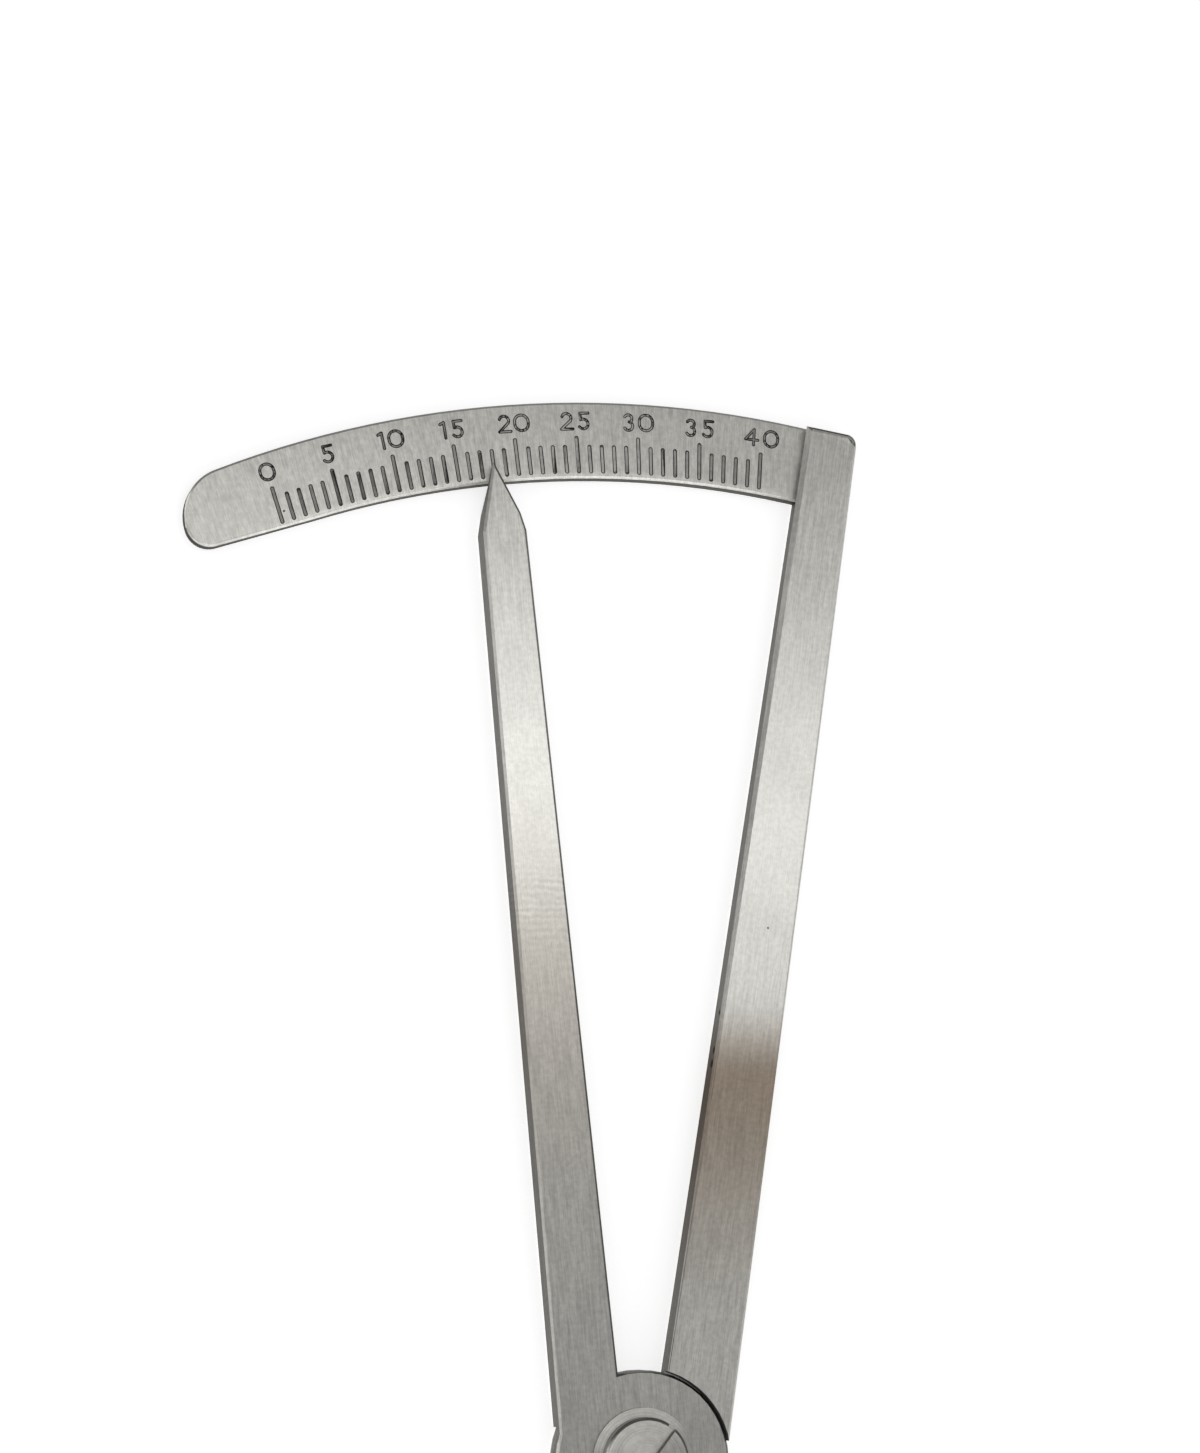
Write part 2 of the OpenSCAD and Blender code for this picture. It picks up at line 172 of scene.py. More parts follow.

# How far from its inner edge the plate carries a painted highlight, in metres
HIGHLIGHT_FROM, HIGHLIGHT_TO = 0.15 * MM, 0.7 * MM

# The material slots of the engraved plate; the sides' slot also takes the rims of painted shade round the
# strokes
GROOVE_SIDE, GROOVE_FLOOR = 1, 2

# The lamps: where each one hangs from the point that the camera looks at, its size, both in metres, and its
# watts. One that hangs higher than this above that point shines straight down.
LAMPS = {
    "overhead strip": ((0.19, 0.12, 0.85), (0.5, 0.08), 0.35),
    "left strip": ((-0.26, 0.065, 0.85), (0.6, 0.10), 0.265),
    "right bank": ((0.74, 0.25, 0.85), (0.5, 0.20), 0.10),
    "low left softbox": ((-0.90, 0.0, 0.35), (0.5, 0.5), 0.25),
    "low front softbox": ((0.22, -0.90, 0.27), (1.3, 0.5), 1.6),
}
HUNG_HIGH = 0.5

# The paper's reach to each side and how far it lies below the caliper, in metres, and its finish
FLOOR_REACH = 3.0
FLOOR_DROP = 0.02 * MM
PAPER_ROUGHNESS = 0.9
PAPER_GLOSS = 0.1

# The camera's film in millimetres, and the nearest and farthest that it sees, in metres
FILM_WIDTH = 36.0
NEAREST, FARTHEST = 0.01, 20.0


class Nodes:
    """Adds and joins the nodes of one material or group."""

    def __init__(self, tree):
        self.tree = tree

    def feed(self, socket, value):
        if isinstance(value, bpy.types.NodeSocket):
            self.tree.links.new(value, socket)
        else:
            socket.default_value = value

    def add(self, kind, values=None, **settings):
        made = self.tree.nodes.new("ShaderNode" + kind)
        for key, value in settings.items():
            setattr(made, key, value)
        for key, value in (values or {}).items():
            self.feed(made.inputs[key], value)
        return made

    def calc(self, operation, *values):
        return self.add("Math", dict(enumerate(values)), operation=operation).outputs[0]

    def vector(self, operation, *values):
        return self.add("VectorMath", dict(enumerate(values)), operation=operation).outputs[0]

    def measure(self, operation, *values):
        """Vector maths that gives a plain value."""
        return self.add("VectorMath", dict(enumerate(values)), operation=operation).outputs["Value"]

    def scale(self, vector, share):
        return self.add("VectorMath", {0: vector, "Scale": share}, operation="SCALE").outputs[0]

    def parts(self, vector):
        return self.add("SeparateXYZ", {"Vector": vector}).outputs

    def combine(self, **parts):
        return self.add("CombineXYZ", parts).outputs[0]

    def span(self, value, low, high, to_low=0.0, to_high=1.0):
        values = {"Value": value, "From Min": low, "From Max": high, "To Min": to_low, "To Max": to_high}
        return self.add("MapRange", values, interpolation_type="SMOOTHSTEP").outputs[0]

    def mix(self, factor, a, b):
        return self.add("Mix", {0: factor, 6: a, 7: b}, data_type="RGBA").outputs[2]

    def blend(self, factor, a, b):
        return self.add("Mix", {0: factor, 2: a, 3: b}).outputs[0]

    def noise(self, vector, scale, detail, roughness=0.5):
        values = {"Vector": vector, "Scale": scale, "Detail": detail, "Roughness": roughness}
        return self.add("TexNoise", values).outputs["Fac"]

    def group(self, tree, values):
        made = self.tree.nodes.new("ShaderNodeGroup")
        made.node_tree = tree
        for key, value in values.items():
            self.feed(made.inputs[key], value)
        return made.outputs


def make_group(name, inputs, outputs, fill):
    """Builds a shader node group once; fill gets its nodes, its inputs and a function that sets an output."""
    if name in bpy.data.node_groups:
        return bpy.data.node_groups[name]
    tree = bpy.data.node_groups.new(name, "ShaderNodeTree")
    for label, kind, value in inputs:
        socket = tree.interface.new_socket(label, in_out="INPUT", socket_type="NodeSocket" + kind)
        if value is not None:
            socket.default_value = value
    for label in outputs:
        tree.interface.new_socket(label, in_out="OUTPUT", socket_type="NodeSocketFloat")
    nodes = Nodes(tree)
    given = tree.nodes.new("NodeGroupInput")
    result = tree.nodes.new("NodeGroupOutput")
    fill(nodes, given.outputs, lambda label, value: nodes.feed(result.inputs[label], value))
    return tree


def ground_steel():
    """Fine parallel grinding lines along the vector's Y, with a few deeper scratches."""

    def fill(nodes, given, give):
        def lines(across, along, detail, roughness):
            count = nodes.calc("MULTIPLY", given["Lines"], across)
            runs = nodes.calc("MULTIPLY", given["Runs"], along)
            stretched = nodes.vector("MULTIPLY", given["Vector"], nodes.combine(X=count, Y=runs, Z=count))
            return nodes.noise(stretched, 1.0, detail, roughness)

        fine = nodes.calc("MULTIPLY", lines(*FINE_LAYER), FINE_SHARE)
        coarse = nodes.calc("MULTIPLY", lines(*COARSE_LAYER), COARSE_SHARE)
        deep = nodes.span(lines(*SCRATCH_LAYER), SCRATCH_FROM, SCRATCH_TO)
        tone = nodes.calc("ADD", fine, coarse)
        give("Tone", tone)
        give("Scratches", deep)
        give("Height", nodes.calc("SUBTRACT", tone, nodes.calc("MULTIPLY", deep, SCRATCH_DEPTH)))

    lines, runs = ARM_GRAIN
    inputs = [("Vector", "Vector", None), ("Lines", "Float", lines), ("Runs", "Float", runs)]
    return make_group("Ground steel", inputs, ["Tone", "Scratches", "Height"], fill)


def handled_steel():
    """Slow, cloudy changes of the satin, as handling and wiping leave them."""

    def fill(nodes, given, give):
        clouds = nodes.noise(given["Vector"], given["Clouds"], 4.0, 0.62)
        give("Clouds", nodes.span(clouds, CLOUDS_FROM, CLOUDS_TO))
        finer = nodes.calc("MULTIPLY", given["Clouds"], MOTTLE_FINER)
        give("Mottle", nodes.noise(given["Vector"], finer, 3.0, 0.55))

    inputs = [("Vector", "Vector", None), ("Clouds", "Float", CLOUDS)]
    return make_group("Handled steel", inputs, ["Clouds", "Mottle"], fill)


def face_kinds():
    """Masks for the narrow sides and for the bevels that lean away from the light, which get painted shade,
    from a face's normal.
    """

    def fill(nodes, given, give):
        up = nodes.calc("ABSOLUTE", nodes.parts(given["Normal"])["Z"])
        side = nodes.span(up, *SIDE_BAND, 1.0, 0.0)
        bevel = nodes.calc("SUBTRACT", nodes.span(up, *BEVEL_BAND, 1.0, 0.0), side)
        lean = nodes.measure("DOT_PRODUCT", given["Normal"], FAR_SIDE)
        give("Side", side)
        give("Painted bevel shade", nodes.calc("MULTIPLY", bevel, nodes.span(lean, *FAR_BAND)))

    return make_group("Face kinds", [("Normal", "Vector", None)], ["Side", "Painted bevel shade"], fill)


def painted_brown_reflection():
    """A painted brown reflection across an arm, strongest at its lower limit and fading both ways from there.
    """

    def fill(nodes, given, give):
        high = nodes.span(given["Height"], given["Low"], given["High"], 1.0, 0.0)
        give("Tint", nodes.calc("MULTIPLY", high, nodes.span(given["Height"], REFLECTION_END, given["Low"])))

    inputs = [("Height", "Float", 0.0), ("Low", "Float", 0.0), ("High", "Float", 0.0)]
    return make_group("Painted brown reflection", inputs, ["Tint"], fill)


def steel_mark():
    """What a small dark mark with a ragged edge leaves of the steel's tone."""

    def fill(nodes, given, give):
        ragged = nodes.calc("MULTIPLY", nodes.noise(given["Vector"], MARK_FINENESS, 2.0), MARK_RAGGED)
        away = nodes.measure("DISTANCE", given["Vector"], given["Centre"])
        away = nodes.calc("ADD", nodes.calc("DIVIDE", away, given["Reach"]), ragged)
        give("Shade", nodes.span(away, *MARK_EDGE, MARK_SHADE, 1.0))

    inputs = [("Vector", "Vector", None), ("Centre", "Vector", None), ("Reach", "Float", MM)]
    return make_group("Steel mark", inputs, ["Shade"], fill)


def worn_blackening():
    """The engraving's blackening: patchy, and most worn in the middle of the scale."""

    def fill(nodes, given, give):
        patches = nodes.noise(given["Vector"], PATCH_FINENESS, 3.0, 0.6)
        low = nodes.calc("SUBTRACT", 1.0, given["Patchiness"])
        high = nodes.calc("ADD", 1.0, given["Patchiness"])
        away = nodes.calc("ABSOLUTE", nodes.calc("SUBTRACT", nodes.parts(given["Vector"])["X"], WORN_AT))
        wear_and_highlight = nodes.span(away, 0.0, WORN_REACH, 1.0, given["End share"])
        rough = nodes.span(patches, NOISE_LOW, NOISE_HIGH, -PATCH_ROUGHNESS, PATCH_ROUGHNESS)
        give("Shade", nodes.calc("MULTIPLY", nodes.span(patches, NOISE_LOW, NOISE_HIGH, low, high), wear_and_highlight))
        give("Roughness", nodes.calc("ADD", given["Roughness"], rough))

    inputs = [("Vector", "Vector", None), ("Patchiness", "Float", 0.0), ("End share", "Float", 1.0),
              ("Roughness", "Float", 0.0)]
    return make_group("Worn blackening", inputs, ["Shade", "Roughness"], fill)


def new_material(name):
    material = bpy.data.materials.new(name)
    material.use_nodes = True
    nodes = Nodes(material.node_tree)
    material.node_tree.nodes.clear()
    shader = nodes.add("BsdfPrincipled")
    output = nodes.add("OutputMaterial")
    material.node_tree.links.new(shader.outputs[0], output.inputs["Surface"])
    return material, nodes, shader


def local_normal(nodes):
    normal = nodes.add("NewGeometry").outputs["Normal"]
    return nodes.add("VectorTransform", {"Vector": normal}, vector_type="NORMAL", convert_from="WORLD",
                     convert_to="OBJECT").outputs[0]


def world_direction(nodes, vector):
    return nodes.add("VectorTransform", {"Vector": vector}, vector_type="VECTOR", convert_from="OBJECT",
                     convert_to="WORLD").outputs[0]


def finish_steel(nodes, shader, look, place, turned, tangent, grain, side_shade_share):
    """Joins the shared effects to one steel: turned is the place with its Y along the grinding."""
    kinds = nodes.group(face_kinds(), {"Normal": local_normal(nodes)})
    tangent = nodes.add("Mix", {0: kinds["Side"], 4: tangent, 5: UP}, data_type="VECTOR").outputs[1]
    lines, runs = grain
    ground = nodes.group(ground_steel(), {"Vector": turned, "Lines": lines, "Runs": runs})
    hands = nodes.group(handled_steel(), {"Vector": place, "Clouds": CLOUDS})
    # The narrow sides get a darker colour: painted shade
    painted_side_shade = (*(part * side_shade_share for part in look.shaded_side_colour), 1.0)
    base = nodes.mix(kinds["Side"], (*look.colour, 1.0), painted_side_shade)

    shade = nodes.span(ground["Tone"], NOISE_LOW, NOISE_HIGH, 1.0 - look.grain, 1.0 + look.grain)
    for change in (
        nodes.span(hands["Clouds"], 0.0, 1.0, 1.0 - CLOUD_SHADE, 1.0 + CLOUD_SHADE),
        nodes.span(hands["Mottle"], NOISE_LOW, NOISE_HIGH, 1.0 - MOTTLE_SHADE, 1.0 + MOTTLE_SHADE),
        # Painted shade on the bevels that lean away from the light
        nodes.blend(kinds["Painted bevel shade"], 1.0, look.painted_bevel_shade),
        nodes.calc("SUBTRACT", 1.0, nodes.calc("MULTIPLY", ground["Scratches"], SCRATCH_SHADE)),
    ):
        shade = nodes.calc("MULTIPLY", shade, change)

    rough = look.roughness
    for change in (
        nodes.span(ground["Tone"], NOISE_LOW, NOISE_HIGH, -GRAIN_ROUGHNESS, GRAIN_ROUGHNESS),
        nodes.span(hands["Clouds"], 0.0, 1.0, *CLOUD_ROUGHNESS),
        nodes.calc("MULTIPLY", kinds["Side"], SIDE_ROUGHNESS),
    ):
        rough = nodes.calc("ADD", rough, change)

    bump = nodes.add("Bump", {"Strength": BUMP_STRENGTH, "Distance": BUMP_HEIGHT, "Height": ground["Height"]})
    nodes.feed(shader.inputs["Roughness"], rough)
    nodes.feed(shader.inputs["Normal"], bump.outputs[0])
    nodes.feed(shader.inputs["Metallic"], 1.0)
    nodes.feed(shader.inputs["Anisotropic"], look.anisotropy)
    nodes.feed(shader.inputs["Tangent"], world_direction(nodes, tangent))
    return nodes.scale(base, shade)


def marked(nodes, tone, place, marks):
    """Darkens the steel at its small marks."""
    for x, y, z, reach in marks:
        values = {"Vector": place, "Centre": (x * MM, y * MM, z * MM), "Reach": reach * MM}
        tone = nodes.scale(tone, nodes.group(steel_mark(), values)["Shade"])
    return tone


def rippled(nodes, tone, place, height):
    """Faint ripples across the pointer arm."""
    wander = nodes.noise(place, RIPPLE_WANDER_FINENESS, 2.0)
    wander = nodes.calc("MULTIPLY", wander, RIPPLE_WANDER * RIPPLE_STEP)
    phase = nodes.calc("MULTIPLY", nodes.calc("ADD", height, wander), 2 * math.pi / RIPPLE_STEP)
    away = nodes.calc("ABSOLUTE", nodes.calc("SUBTRACT", height, RIPPLES_AT))
    patches = nodes.noise(place, RIPPLE_PATCH_FINENESS, 1.0)
    strength = nodes.calc("MULTIPLY", nodes.span(away, 0.0, RIPPLES_SPREAD, 1.0, 0.0), patches)
    wave = nodes.calc("MULTIPLY", nodes.calc("SINE", phase), nodes.calc("MULTIPLY", strength, RIPPLE_SHADE))
    return nodes.scale(tone, nodes.calc("ADD", 1.0, wave))


def arm_steel(name, look, bearings, brown_reflection, side_shade_share, marks, ripples):
    """Steel ground along an arm above the joint and along its leg below it."""
    material, nodes, shader = new_material(name)
    place = nodes.add("TexCoord").outputs["Object"]
    height = nodes.parts(place)["Y"]
    upper, lower = bearings
    bearing = nodes.blend(nodes.calc("GREATER_THAN", height, 0.0), lower, upper)
    turned = nodes.add("VectorRotate", {"Vector": place, "Angle": bearing}, rotation_type="Z_AXIS").outputs[0]
    lean = nodes.calc("MULTIPLY", nodes.calc("SINE", bearing), -1.0)
    across = nodes.combine(X=nodes.calc("COSINE", bearing), Y=lean)
    tone = finish_steel(nodes, shader, look, place, turned, across, ARM_GRAIN, side_shade_share)
    # A painted brown reflection low on the arm darkens and browns the steel
    low, high, strength = brown_reflection
    reflection_mask = nodes.group(painted_brown_reflection(), {"Height": height, "Low": low, "High": high})["Tint"]
    reflected_brown = nodes.vector("MULTIPLY", tone, tuple(look.brown_reflection_colour))
    tone = nodes.mix(nodes.calc("MULTIPLY", reflection_mask, strength), tone, reflected_brown)
    if ripples:
        tone = rippled(nodes, tone, place, height)
    nodes.feed(shader.inputs["Base Color"], marked(nodes, tone, place, marks))
    return material


def plate_steel(name, look):
    """Steel ground across the plate, along the graduations, with a painted highlight along its lower edge."""
    material, nodes, shader = new_material(name)
    place = nodes.add("TexCoord").outputs["Object"]
    parts = nodes.parts(place)
    out = nodes.vector("SUBTRACT", place, tuple(FAN_POINT))
    spread = nodes.parts(out)
    bearing = nodes.calc("ARCTAN2", spread["X"], spread["Y"])
    around = nodes.calc("MULTIPLY", bearing, PLATE_OUTER_R - FAN_POINT.y)
    turned = nodes.combine(X=around, Y=nodes.measure("LENGTH", out), Z=parts["Z"])
    across = nodes.combine(X=spread["Y"], Y=nodes.calc("MULTIPLY", spread["X"], -1.0))
    tangent = nodes.vector("NORMALIZE", across)
    tone = finish_steel(nodes, shader, look, place, turned, tangent, PLATE_GRAIN, PLATE_SIDE_SHADE)
    radius = nodes.measure("LENGTH", nodes.combine(X=parts["X"], Y=parts["Y"]))
    # A painted highlight along the plate's lower edge
    wear_and_highlight = nodes.span(radius, PLATE_INNER_R + HIGHLIGHT_FROM, PLATE_INNER_R + HIGHLIGHT_TO, look.edge_highlight, 1.0)
    tone = marked(nodes, nodes.scale(tone, wear_and_highlight), place, PLATE_MARKS)
    nodes.feed(shader.inputs["Base Color"], tone)
    return material


def groove_finish(name, colour, wear):
    """The finish of one part of the engraving."""
    material, nodes, shader = new_material(name)
    place = nodes.add("TexCoord").outputs["Object"]
    wear_and_highlight = nodes.group(worn_blackening(), {"Vector": place, **wear})
    nodes.feed(shader.inputs["Base Color"], nodes.scale(tuple(colour), wear_and_highlight["Shade"]))
    nodes.feed(shader.inputs["Roughness"], wear_and_highlight["Roughness"])
    nodes.feed(shader.inputs["Metallic"], 1.0)
    return material


def turned_steel(name, look):
    """Steel turned on a lathe: fine rings about the pivot's axis."""
    material, nodes, shader = new_material(name)
    place = nodes.add("TexCoord").outputs["Object"]
    parts = nodes.parts(place)
    flat = nodes.combine(X=parts["X"], Y=parts["Y"])
    outwards = nodes.calc("ADD", nodes.measure("LENGTH", flat), parts["Z"])
    around = nodes.calc("MULTIPLY", nodes.calc("ARCTAN2", parts["X"], parts["Y"]), TURNED_RADIUS)
    turned = nodes.combine(X=outwards, Y=around)
    tangent = nodes.vector("NORMALIZE", flat)
    tone = finish_steel(nodes, shader, look, place, turned, tangent, TURNED_GRAIN, TURNED_SIDE_SHADE)
    nodes.feed(shader.inputs["Base Color"], tone)
    return material


def dress(node, material):
    """Gives a CAD node its finish in its own material slots."""
    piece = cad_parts[node]
    if not piece.material_slots:
        piece.data.materials.append(material)
    for slot in piece.material_slots:
        slot.material = material


def merged_copy(node):
    """A CAD node's shape in a bmesh, its loose triangles joined."""
    shape = bmesh.new()
    shape.from_mesh(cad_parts[node].data)
    bmesh.ops.remove_doubles(shape, verts=shape.verts, dist=WELD)
    bmesh.ops.dissolve_degenerate(shape, edges=shape.edges, dist=WELD)
    return shape


def is_at(vert, height):
    return abs(vert.co.z - height) < HAIR


def level_faces(shape, height):
    """The faces that lie level at a height."""
    return [face for face in shape.faces if all(is_at(vert, height) for vert in face.verts)]


def inset(shape, faces, width):
    """Insets a region of faces, and gives the new faces along its border."""
    return bmesh.ops.inset_region(shape, faces=faces, thickness=width, use_even_offset=True,
                                  use_boundary=True)["faces"]


def soften(shape, offset, wanted, clamped=True):
    """Rounds the sharp edges that wanted() picks; clamped stops the rounding at the next edge."""
    edges = [edge for edge in shape.edges if edge.calc_face_angle(0.0) > SHARP and wanted(edge)]
    bmesh.ops.bevel(shape, geom=edges, offset=offset, offset_type="OFFSET", segments=2, profile=0.5,
                    affect="EDGES", clamp_overlap=clamped, material=-1)


def add_piece(name, shape, node, body, materials):
    """Puts a finished shape in the scene for the CAD node that it stands for."""
    mesh = bpy.data.meshes.new(name)
    shape.to_mesh(mesh)
    shape.free()
    for material in materials:
        mesh.materials.append(material)
    piece = bpy.data.objects.new(name, mesh)
    bpy.context.scene.collection.objects.link(piece)
    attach(piece, body)
    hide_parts(node)


class SteelLook(bpy.types.PropertyGroup):
    colour: FloatVectorProperty(
        name="Colour", description="Colour of the ground faces", subtype="COLOR", size=3, min=0.0, max=1.0,
        default=(0.735, 0.725, 0.68))
    # The narrow sides' darker colour is painted shade
    shaded_side_colour: FloatVectorProperty(
        name="Shaded side colour", description="Colour of the narrow sides", subtype="COLOR", size=3, min=0.0,
        max=1.0, default=(0.42, 0.412, 0.39))
    # The plate's brighter lower edge is a painted highlight
    edge_highlight: FloatProperty(
        name="Edge highlight", description="How much brighter the plate is along its lower edge", min=1.0, max=1.4,
        default=1.22)
    # The far bevels' darker tone is painted shade
    painted_bevel_shade: FloatProperty(
        name="Far edges", description="How much light the bevels away from the light keep", subtype="FACTOR",
        min=0.0, max=1.0, default=0.22)
    # The brown colour low on the arms is a painted reflection
    brown_reflection_colour: FloatVectorProperty(
        name="Tint", description="What the painted brown reflection leaves of the steel's colour", subtype="COLOR",
        size=3, min=0.0, max=1.0, default=(0.46, 0.385, 0.325))
    engraving_colour: FloatVectorProperty(
        name="Engraving colour", description="Colour of the engraving's floor", subtype="COLOR", size=3,
        min=0.0, max=1.0, default=(0.50, 0.49, 0.465))
    # The groove sides' near-black is blackening and painted shade
    groove_colour: FloatVectorProperty(
        name="Groove colour", description="Colour of the engraving's sides", subtype="COLOR", size=3, min=0.0,
        max=1.0, default=(0.03, 0.029, 0.027))
    roughness: FloatProperty(
        name="Roughness", description="How satin the steel is", subtype="FACTOR", min=0.05, max=0.9,
        default=0.34)
    anisotropy: FloatProperty(
        name="Anisotropy", description="How much the grinding stretches a reflection", subtype="FACTOR",
        min=0.0, max=1.0, default=0.9)
    grain: FloatProperty(
        name="Grain", description="How much the grinding lines change the tone", subtype="FACTOR", min=0.0,
        max=0.5, default=0.16)


class StudioLook(bpy.types.PropertyGroup):
    azimuth: FloatProperty(
        name="Azimuth", description="How far the camera stands to the left of the front's normal",
        subtype="ANGLE", default=math.radians(14))
    elevation: FloatProperty(
        name="Elevation", description="How far the camera stands below the front's normal", subtype="ANGLE",
        default=math.radians(9))
    distance: FloatProperty(
        name="Distance", description="From the camera to the point that it looks at", subtype="DISTANCE",
        unit="LENGTH", min=0.1, default=0.3)
    aim: FloatVectorProperty(
        name="Aim", description="The point that the camera looks at", subtype="XYZ", size=3, unit="LENGTH",
        default=(-0.00292, 0.05845, 0.0))
    focal_length: FloatProperty(
        name="Focal length", description="Of the camera, in millimetres", min=10, default=91.57)
    floor_colour: FloatVectorProperty(
        name="Floor colour", description="Colour of the paper under the caliper", subtype="COLOR", size=3,
        min=0.0, max=1.0, default=(0.97, 0.97, 0.97))
    floor_glow: FloatProperty(
        name="Paper white", description="How much of the paper's white the picture gets as it is", min=0.0,
        max=1.0, default=0.64)
    sky: FloatProperty(
        name="Room light", description="Even light from all round", min=0.0, max=2.0, default=0.325)
    lamp_share: FloatProperty(
        name="Lamps", description="Share of the lamps' full power", min=0.0, default=1.0)


class CALIPER_OT_plate(bpy.types.Operator):
    """Finish the scale plate in cross-ground steel with dark engraving"""

    bl_idname = "caliper.plate"
    bl_label = "Finish the Scale Plate"

    def execute(self, context):
        look = context.scene.caliper_steel
        shape = merged_copy("scale_plate")
        soften(shape, PLATE_SOFTENING, self.is_outline)
        self.carve(shape)
        materials = (plate_steel("Cross-ground scale plate", look),
                     # The groove sides carry blackening and painted shade, and the rims round the strokes
                     # painted shade
                     groove_finish("Groove blackening and painted shade", look.groove_colour, GROOVE_SIDE_WEAR),
                     groove_finish("Worn groove floor", look.engraving_colour, GROOVE_FLOOR_WEAR))
        add_piece("engraved_plate", shape, "scale_plate", "scale_side", materials)
        return {"FINISHED"}

    def is_outline(self, edge):
        """Whether an edge runs along the plate's outline, not along the engraving."""
        for vert in edge.verts:
            radius = math.hypot(vert.co.x, vert.co.y)
            if vert.co.z < PLATE_FRONT - 2 * ENGRAVING and edge.calc_length() > SHORT:
                return True
            if abs(radius - PLATE_OUTER_R) < OUTLINE_BAND or abs(radius - PLATE_INNER_R) < OUTLINE_BAND:
                return True
        return False

    def carve(self, shape):
        """Slopes the engraving's sides, and paints a fine rim of shade round each stroke."""
        floor = level_faces(shape, PLATE_FRONT - ENGRAVING)
        sides = {other for face in floor for edge in face.edges for other in edge.link_faces
                 if any(is_at(vert, PLATE_FRONT) for vert in other.verts)}
        for face in sides:
            face.material_index = GROOVE_SIDE
        for face in floor:
            face.material_index = GROOVE_FLOOR
        lips = {vert for face in sides for vert in face.verts if is_at(vert, PLATE_FRONT)}
        feet = {vert for face in floor for vert in face.verts}
        slopes = inset(shape, floor, GROOVE_SLOPE)
        for face in slopes:
            face.material_index = GROOVE_SIDE
        top = level_faces(shape, PLATE_FRONT)
        for face in top:
            for vert in face.verts:
                vert.co.z = PLATE_FRONT
        # A fine rim of painted shade round each stroke
        for face in inset(shape, top, RIM_WIDTH):
            if any(vert in lips for vert in face.verts):
                face.material_index = GROOVE_SIDE
        for face in slopes:
            for vert in face.verts:
                if vert in feet:
                    vert.co.z = PLATE_FRONT - GROOVE_LIP


class CALIPER_OT_arms(bpy.types.Operator):
    """Finish both arms in lengthwise ground steel"""

    bl_idname = "caliper.arms"
    bl_label = "Finish the Arms"

    def execute(self, context):
        look = context.scene.caliper_steel
        scale_arm = arm_steel("Ground scale arm", look, SCALE_ARM_BEARINGS, SCALE_ARM_REFLECTION, SCALE_ARM_SIDE_SHADE,
                              SCALE_ARM_MARKS, ripples=False)
        pointer_arm = arm_steel("Ground pointer arm", look, POINTER_ARM_BEARINGS, POINTER_ARM_REFLECTION,
                                POINTER_ARM_SIDE_SHADE, marks=(), ripples=True)
        for node, body, material in (("scale_arm", "scale_side", scale_arm),
                                     ("pointer_arm", "pointer_side", pointer_arm)):
            shape = merged_copy(node)
            soften(shape, CAP_SOFTENING, self.is_cap, clamped=False)
            soften(shape, ARM_SOFTENING, self.is_long)
            add_piece("ground_" + node, shape, node, body, (material,))
        return {"FINISHED"}

    def is_cap(self, edge):
        """Whether an edge runs round the front of the square end that holds the plate."""
        return all(vert.co.y > CAP_FROM and vert.co.z > ARM_FRONT - CAP_DEEP for vert in edge.verts)

    def is_long(self, edge):
        """Whether an edge is one of an arm's long ones, not of its joint, point or pointer."""
        return edge.calc_length() > LONG


class CALIPER_OT_joint(bpy.types.Operator):
    """Finish the pivot screw and both washers in turned steel"""

    bl_idname = "caliper.joint"
    bl_label = "Finish the Joint"

    def execute(self, context):
        look = context.scene.caliper_steel
        for node in ("pivot_screw", "spring_washer", "joint_washer"):
            dress(node, turned_steel("Turned " + node.replace("_", " "), look))
        return {"FINISHED"}


def add_lamp(name, place, size, watts, aim):
    """Adds a lamp that shines straight down where it hangs high, and otherwise at the caliper."""
    data = bpy.data.lights.new(name, "AREA")
    data.shape = "RECTANGLE"
    data.size, data.size_y = size
    data.energy = watts
    lamp = bpy.data.objects.new(name, data)
    bpy.context.scene.collection.objects.link(lamp)
    lamp.location = aim + Vector(place)
    if place[2] < HUNG_HIGH:
        lamp.rotation_euler = (-Vector(place)).to_track_quat("-Z", "Y").to_euler()


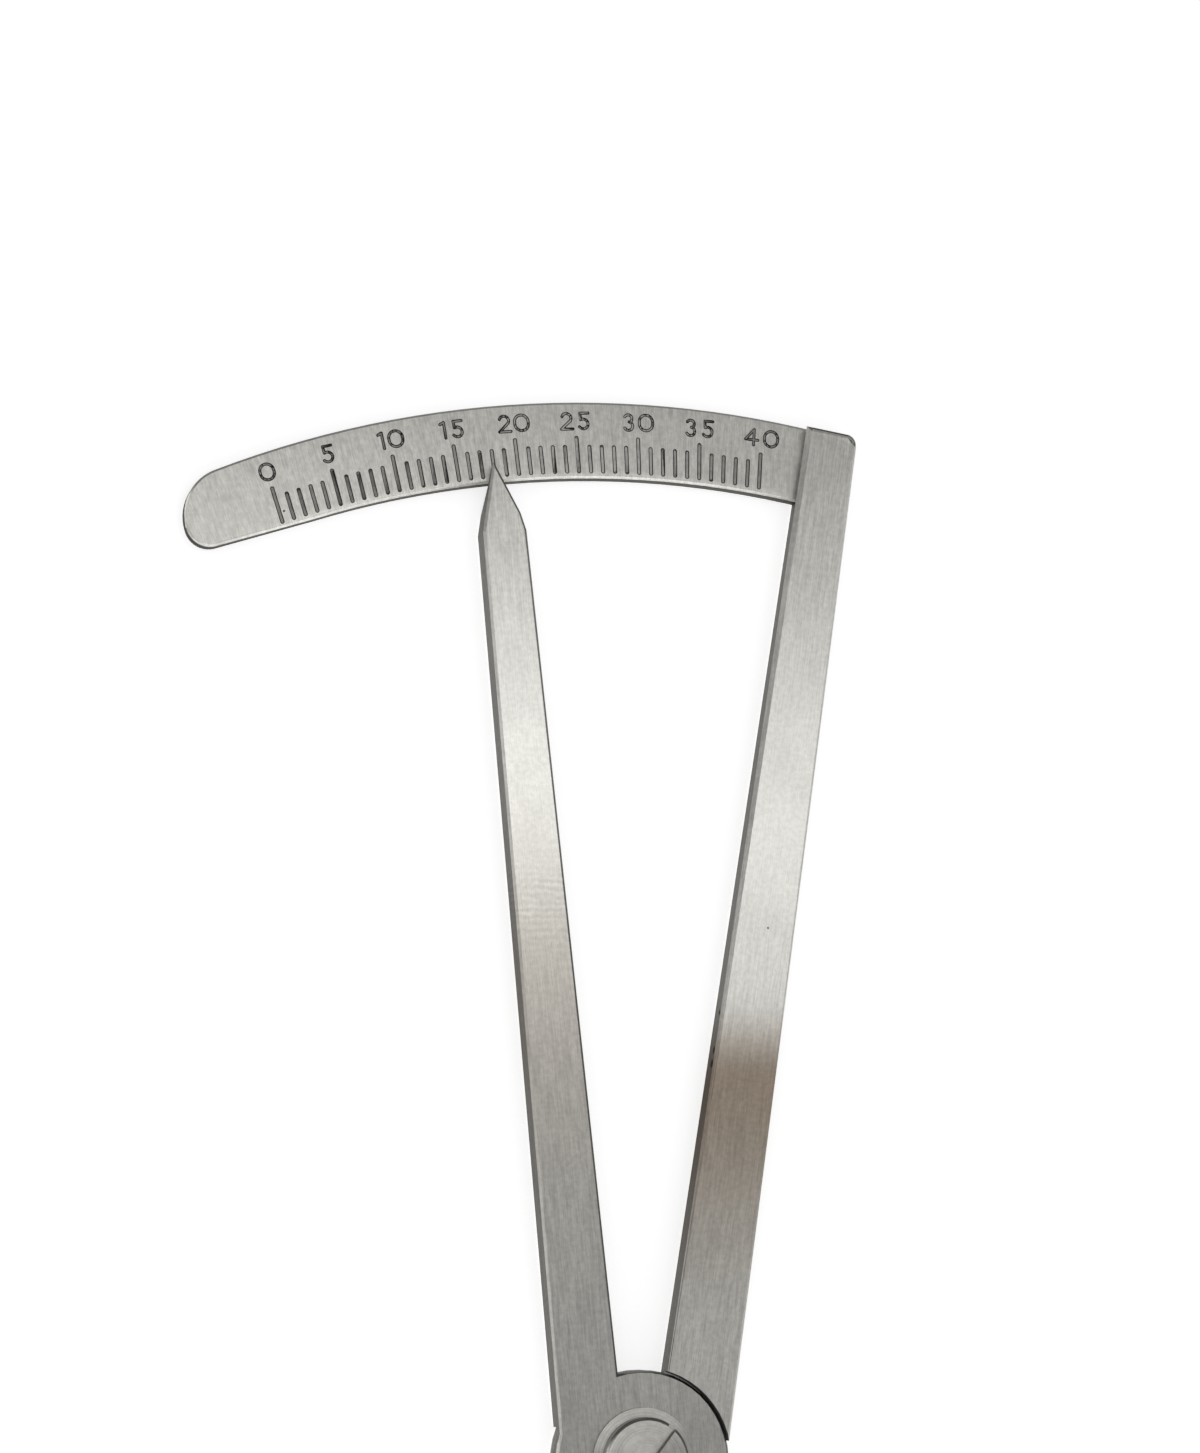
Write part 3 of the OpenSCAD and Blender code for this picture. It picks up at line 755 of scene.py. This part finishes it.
class CALIPER_OT_stage(bpy.types.Operator):
    """Set up the white paper, the light and the camera"""

    bl_idname = "caliper.stage"
    bl_label = "Set Up the Studio"

    def execute(self, context):
        scene, look = context.scene, context.scene.caliper_studio
        self.add_floor(scene, look)
        self.add_light(scene, look)
        self.add_camera(scene, look)
        return {"FINISHED"}

    def add_floor(self, scene, look):
        mesh = bpy.data.meshes.new("floor")
        sheet = bmesh.new()
        bmesh.ops.create_grid(sheet, x_segments=1, y_segments=1, size=FLOOR_REACH)
        bmesh.ops.translate(sheet, verts=sheet.verts, vec=(0, 0, -FLOOR_DROP))
        sheet.to_mesh(mesh)
        sheet.free()
        floor = bpy.data.objects.new("floor", mesh)
        scene.collection.objects.link(floor)
        material, nodes, shader = new_material("White paper")
        nodes.feed(shader.inputs["Base Color"], (*look.floor_colour, 1.0))
        nodes.feed(shader.inputs["Roughness"], PAPER_ROUGHNESS)
        nodes.feed(shader.inputs["Specular IOR Level"], PAPER_GLOSS)
        nodes.feed(shader.inputs["Emission Color"], WHITE)
        rays = nodes.add("LightPath").outputs
        seen = nodes.calc("MAXIMUM", rays["Is Camera Ray"], rays["Is Glossy Ray"])
        seen = nodes.calc("MAXIMUM", seen, rays["Is Transmission Ray"])
        nodes.feed(shader.inputs["Emission Strength"], nodes.calc("MULTIPLY", seen, look.floor_glow))
        mesh.materials.append(material)

    def add_light(self, scene, look):
        world = bpy.data.worlds.new("Room")
        world.use_nodes = True
        grey = (look.sky, look.sky, look.sky, 1.0)
        world.node_tree.nodes["Background"].inputs["Color"].default_value = grey
        scene.world = world
        aim = Vector(look.aim)
        for name, (place, size, watts) in LAMPS.items():
            add_lamp(name, place, size, watts * look.lamp_share, aim)

    def add_camera(self, scene, look):
        data = bpy.data.cameras.new("camera")
        data.sensor_fit = "AUTO"
        data.sensor_width = FILM_WIDTH
        data.lens = look.focal_length
        data.clip_start, data.clip_end = NEAREST, FARTHEST
        camera = bpy.data.objects.new("camera", data)
        scene.collection.objects.link(camera)
        back = Vector((-math.sin(look.azimuth) * math.cos(look.elevation), -math.sin(look.elevation),
                       math.cos(look.azimuth) * math.cos(look.elevation)))
        right = Vector((0, 1, 0)).cross(back).normalized()
        turn = Matrix((right, back.cross(right), back)).transposed()
        place = Vector(look.aim) + look.distance * back
        camera.matrix_world = Matrix.Translation(place) @ turn.to_4x4()
        scene.camera = camera
        scene.view_settings.view_transform = "Standard"


class CALIPER_PT_panel(bpy.types.Panel):
    """Lists the caliper's finishes and its studio"""

    bl_idname = "CALIPER_PT_panel"
    bl_label = "Castroviejo Caliper"
    bl_space_type = "VIEW_3D"
    bl_region_type = "UI"
    bl_category = "Caliper"

    def draw(self, context):
        for look in (context.scene.caliper_steel, context.scene.caliper_studio):
            box = self.layout.box()
            for key in look.__annotations__:
                box.prop(look, key)
        for operator in OPERATORS:
            self.layout.operator(operator.bl_idname)


OPERATORS = (CALIPER_OT_plate, CALIPER_OT_arms, CALIPER_OT_joint, CALIPER_OT_stage)
CLASSES = (SteelLook, StudioLook, *OPERATORS, CALIPER_PT_panel)


def register():
    for cls in CLASSES:
        bpy.utils.register_class(cls)
    bpy.types.Scene.caliper_steel = PointerProperty(type=SteelLook)
    bpy.types.Scene.caliper_studio = PointerProperty(type=StudioLook)


def unregister():
    del bpy.types.Scene.caliper_studio
    del bpy.types.Scene.caliper_steel
    for cls in reversed(CLASSES):
        bpy.utils.unregister_class(cls)


def main():
    register()
    bpy.ops.caliper.plate()
    bpy.ops.caliper.arms()
    bpy.ops.caliper.joint()
    bpy.ops.caliper.stage()


if __name__ == "__main__":
    main()
